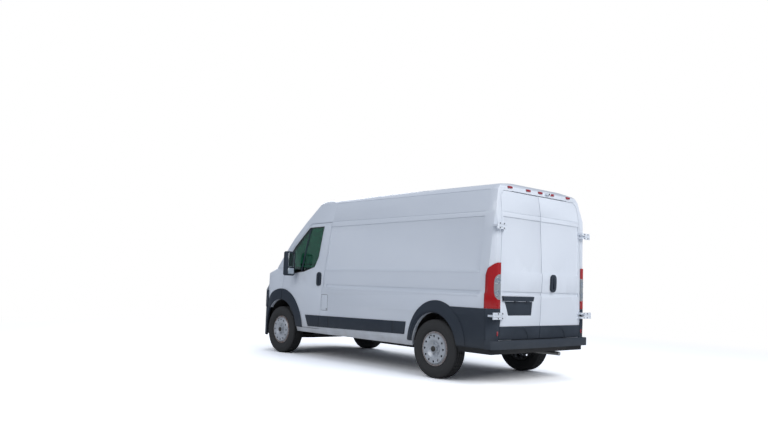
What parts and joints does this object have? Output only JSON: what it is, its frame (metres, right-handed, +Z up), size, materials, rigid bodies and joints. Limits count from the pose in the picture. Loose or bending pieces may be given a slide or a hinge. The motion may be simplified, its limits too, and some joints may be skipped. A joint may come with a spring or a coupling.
{
  "type": "light delivery van",
  "caption": "High-roof panel van with glazed cab doors, windowless load sides, split rear doors, a sliding side door, dark cladding and steel wheels.",
  "frame": {"origin": "on the ground at half the overall length, on the centre plane", "axes": "+X forward, +Y to the van's left, +Z up"},
  "size_m": [5.4128, 2.508, 2.522],
  "materials": {
    "white_paint": "gloss",
    "dark_plastic": "grained",
    "glazing": "clear",
    "lamp_red": "gloss",
    "lamp_clear": "gloss",
    "seal_rubber": "matt",
    "chassis_paint": "satin",
    "engine_iron": "rough",
    "exhaust_steel": "dull",
    "tank_plastic": "matt",
    "seat_cloth": "woven",
    "dash_plastic": "grained",
    "wheel_steel": "satin",
    "tyre_rubber": "matt"
  },
  "bodies": {
    "chassis": {"side_panel_left": "white_paint", "side_panel_right": "white_paint", "sliding_door": "white_paint", "sliding_door_trim": "dark_plastic", "roof_shell": "white_paint", "screen_frame": "white_paint", "windscreen": "glazing", "cowl": "dark_plastic", "wing_left": "white_paint", "wing_right": "white_paint", "wing_trims": "dark_plastic", "headlamps": "lamp_clear", "grille": "dark_plastic", "front_bumper": "dark_plastic", "side_cladding_left": "dark_plastic", "side_cladding_right": "dark_plastic", "rear_bumper": "dark_plastic", "tail_lamps": "lamp_red", "roof_marker_lamps": "lamp_red", "rear_hinge_brackets": "white_paint", "door_seals": "seal_rubber", "underbody": "chassis_paint", "front_subframe": "chassis_paint", "engine_block": "engine_iron", "rear_axle": "chassis_paint", "exhaust": "exhaust_steel", "fuel_tank": "tank_plastic", "seats": "seat_cloth", "dashboard": "dash_plastic"},
    "bonnet": {"bonnet": "white_paint"},
    "cab_door_left": {"cab_door_left": "white_paint", "cab_door_glass_left": "glazing", "cab_door_trim_left": "dark_plastic", "mirror_left": "dark_plastic"},
    "cab_door_right": {"cab_door_right": "white_paint", "cab_door_glass_right": "glazing", "cab_door_trim_right": "dark_plastic", "mirror_right": "dark_plastic"},
    "rear_door_left": {"rear_door_left": "white_paint", "rear_door_trim_left": "dark_plastic"},
    "rear_door_right": {"rear_door_right": "white_paint", "rear_door_trim_right": "dark_plastic"},
    "steering_left": {"knuckle_left": "chassis_paint"},
    "steering_right": {"knuckle_right": "chassis_paint"},
    "wheel_front_left": {"rim_front_left": "wheel_steel", "tyre_front_left": "tyre_rubber"},
    "wheel_front_right": {"rim_front_right": "wheel_steel", "tyre_front_right": "tyre_rubber"},
    "wheel_rear_left": {"rim_rear_left": "wheel_steel", "tyre_rear_left": "tyre_rubber"},
    "wheel_rear_right": {"rim_rear_right": "wheel_steel", "tyre_rear_right": "tyre_rubber"}
  },
  "joints": [
    {"name": "bonnet_hinge", "type": "hinge", "parent": "chassis", "child": "bonnet", "pos_m": [2.284, 0, 1.378], "axis": [0, -1, 0], "range_deg": [0, 50]},
    {"name": "cab_door_left_hinge", "type": "hinge", "parent": "chassis", "child": "cab_door_left", "pos_m": [1.815, 1.001, 0.9], "axis": [0, 0, -1], "range_deg": [0, 70]},
    {"name": "cab_door_right_hinge", "type": "hinge", "parent": "chassis", "child": "cab_door_right", "pos_m": [1.815, -1.001, 0.9], "axis": [0, 0, 1], "range_deg": [0, 70]},
    {"name": "rear_door_left_hinge", "type": "hinge", "parent": "chassis", "child": "rear_door_left", "pos_m": [-2.692, 1.048, 0.843], "axis": [0, 0.0417, -0.9991], "range_deg": [0, 260]},
    {"name": "rear_door_right_hinge", "type": "hinge", "parent": "chassis", "child": "rear_door_right", "pos_m": [-2.692, -1.048, 0.843], "axis": [0, 0.0417, 0.9991], "range_deg": [0, 260]},
    {"name": "steering_left_pivot", "type": "hinge", "parent": "chassis", "child": "steering_left", "pos_m": [1.7585, 0.83, 0.372], "axis": [0, 0, 1], "range_deg": [-35, 35]},
    {"name": "steering_right_pivot", "type": "hinge", "parent": "chassis", "child": "steering_right", "pos_m": [1.7585, -0.83, 0.372], "axis": [0, 0, 1], "range_deg": [-35, 35]},
    {"name": "wheel_front_left_spin", "type": "hinge", "parent": "steering_left", "child": "wheel_front_left", "pos_m": [1.7585, 0.905, 0.372], "axis": [0, 1, 0], "continuous": true},
    {"name": "wheel_front_right_spin", "type": "hinge", "parent": "steering_right", "child": "wheel_front_right", "pos_m": [1.7585, -0.905, 0.372], "axis": [0, 1, 0], "continuous": true},
    {"name": "wheel_rear_left_spin", "type": "hinge", "parent": "chassis", "child": "wheel_rear_left", "pos_m": [-1.6915, 0.895, 0.372], "axis": [0, 1, 0], "continuous": true},
    {"name": "wheel_rear_right_spin", "type": "hinge", "parent": "chassis", "child": "wheel_rear_right", "pos_m": [-1.6915, -0.895, 0.372], "axis": [0, 1, 0], "continuous": true}
  ],
  "couplings": [
    {"joint": "steering_right_pivot", "follows": "steering_left_pivot", "ratio": 1}
  ]
}
